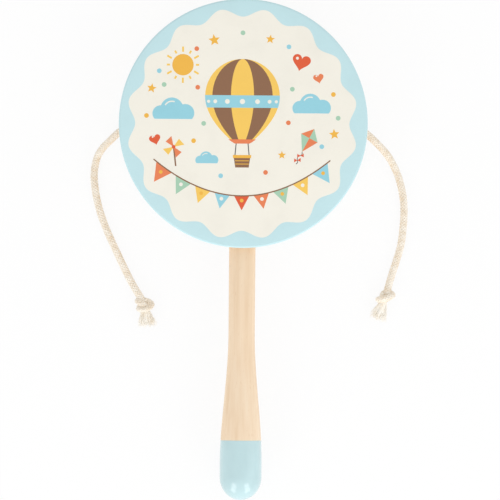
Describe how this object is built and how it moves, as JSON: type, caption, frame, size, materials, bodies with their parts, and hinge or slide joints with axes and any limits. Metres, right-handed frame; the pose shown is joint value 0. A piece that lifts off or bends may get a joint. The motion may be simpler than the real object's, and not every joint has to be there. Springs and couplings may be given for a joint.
{
  "type": "toy drum",
  "caption": "Hand-twirled toy drum: a shallow round wooden drum on a turned handle, with knotted cords at its sides that swing up and beat the drum head.",
  "frame": {"origin": "centre of the back head's outer face, on which the drum lies", "axes": "+Z through the drum from the back head to the front head, -Y along the handle to its tip, -X to the left cord"},
  "size_m": [0.1283, 0.2016, 0.025],
  "materials": {
    "painted_head": "thin plywood with a satin paint and print",
    "natural_wood": "pale close-grained hardwood, sanded, clear satin oil",
    "blue_lacquer": "glossy dipped lacquer",
    "cotton_cord": "natural braided cotton"
  },
  "bodies": {
    "drum": {"back_head": "painted_head", "drum_hoop": "natural_wood", "front_head": "painted_head", "handle": "natural_wood", "handle_lacquer": "blue_lacquer", "left_stop_knot": "cotton_cord", "left_cord_in_hoop": "cotton_cord", "right_stop_knot": "cotton_cord", "right_cord_in_hoop": "cotton_cord"},
    "left_upper_cord": {"left_cord_upper": "cotton_cord"},
    "left_lower_cord": {"left_cord_lower": "cotton_cord", "left_end_knot": "cotton_cord", "left_tassel": "cotton_cord"},
    "right_upper_cord": {"right_cord_upper": "cotton_cord"},
    "right_lower_cord": {"right_cord_lower": "cotton_cord", "right_end_knot": "cotton_cord", "right_tassel": "cotton_cord"}
  },
  "joints": [
    {"name": "left_cord_swing", "type": "hinge", "parent": "drum", "child": "left_upper_cord", "pos_m": [-0.0463, -0.0025, 0.0125], "axis": [-1, 0, 0], "range_deg": [0, 88]},
    {"name": "left_cord_bend", "type": "hinge", "parent": "left_upper_cord", "child": "left_lower_cord", "pos_m": [-0.0601, -0.0211, 0.0016], "axis": [0, 0, 1], "range_deg": [0, 69]},
    {"name": "right_cord_swing", "type": "hinge", "parent": "drum", "child": "right_upper_cord", "pos_m": [0.0463, -0.0025, 0.0125], "axis": [-1, 0, 0], "range_deg": [0, 88]},
    {"name": "right_cord_bend", "type": "hinge", "parent": "right_upper_cord", "child": "right_lower_cord", "pos_m": [0.0634, -0.0227, 0.0016], "axis": [0, 0, -1], "range_deg": [0, 85]}
  ],
  "couplings": [
    {"joint": "left_cord_bend", "follows": "left_cord_swing", "ratio": 0.78},
    {"joint": "right_cord_bend", "follows": "right_cord_swing", "ratio": 0.955}
  ]
}
